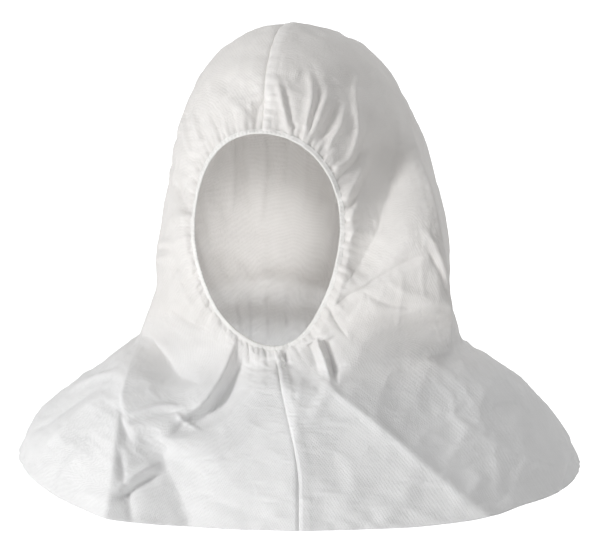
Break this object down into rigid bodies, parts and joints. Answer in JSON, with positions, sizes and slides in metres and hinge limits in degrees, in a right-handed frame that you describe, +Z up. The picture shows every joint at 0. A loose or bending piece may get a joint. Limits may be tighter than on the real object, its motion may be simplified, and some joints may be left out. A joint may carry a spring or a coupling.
{
  "type": "protective hood with shoulder cape",
  "caption": "Disposable white non-woven protective hood with an elastic face opening and a shoulder cape, sewn from two panels, in its worn shape.",
  "frame": {"origin": "where the inside of the crown rests on the top of the head or helmet that holds the hood up", "axes": "+Z up, the wearer faces -Y, the wearer's left is +X; the hood is turned 16 degrees to the wearer's right on the cape"},
  "size_m": [0.552, 0.376, 0.4629],
  "materials": {
    "hood_cloth": "matte spun-bonded non-woven with a fine embossed dot pattern",
    "binding_cloth": "matte, the same cloth folded narrow and pulled smooth",
    "thread": "spun polyester, slight sheen",
    "elastic": "covered elastic, matte"
  },
  "bodies": {
    "root": {"left_panel": "hood_cloth", "right_panel": "hood_cloth", "face_binding": "binding_cloth", "face_elastic": "elastic", "binding_needle_thread": "thread", "binding_bobbin_thread": "thread", "crown_seam_needle_thread": "thread", "crown_seam_lower_looper_thread": "thread", "crown_seam_upper_looper_thread": "thread", "front_seam_needle_thread": "thread", "front_seam_lower_looper_thread": "thread", "front_seam_upper_looper_thread": "thread"}
  },
  "joints": []
}
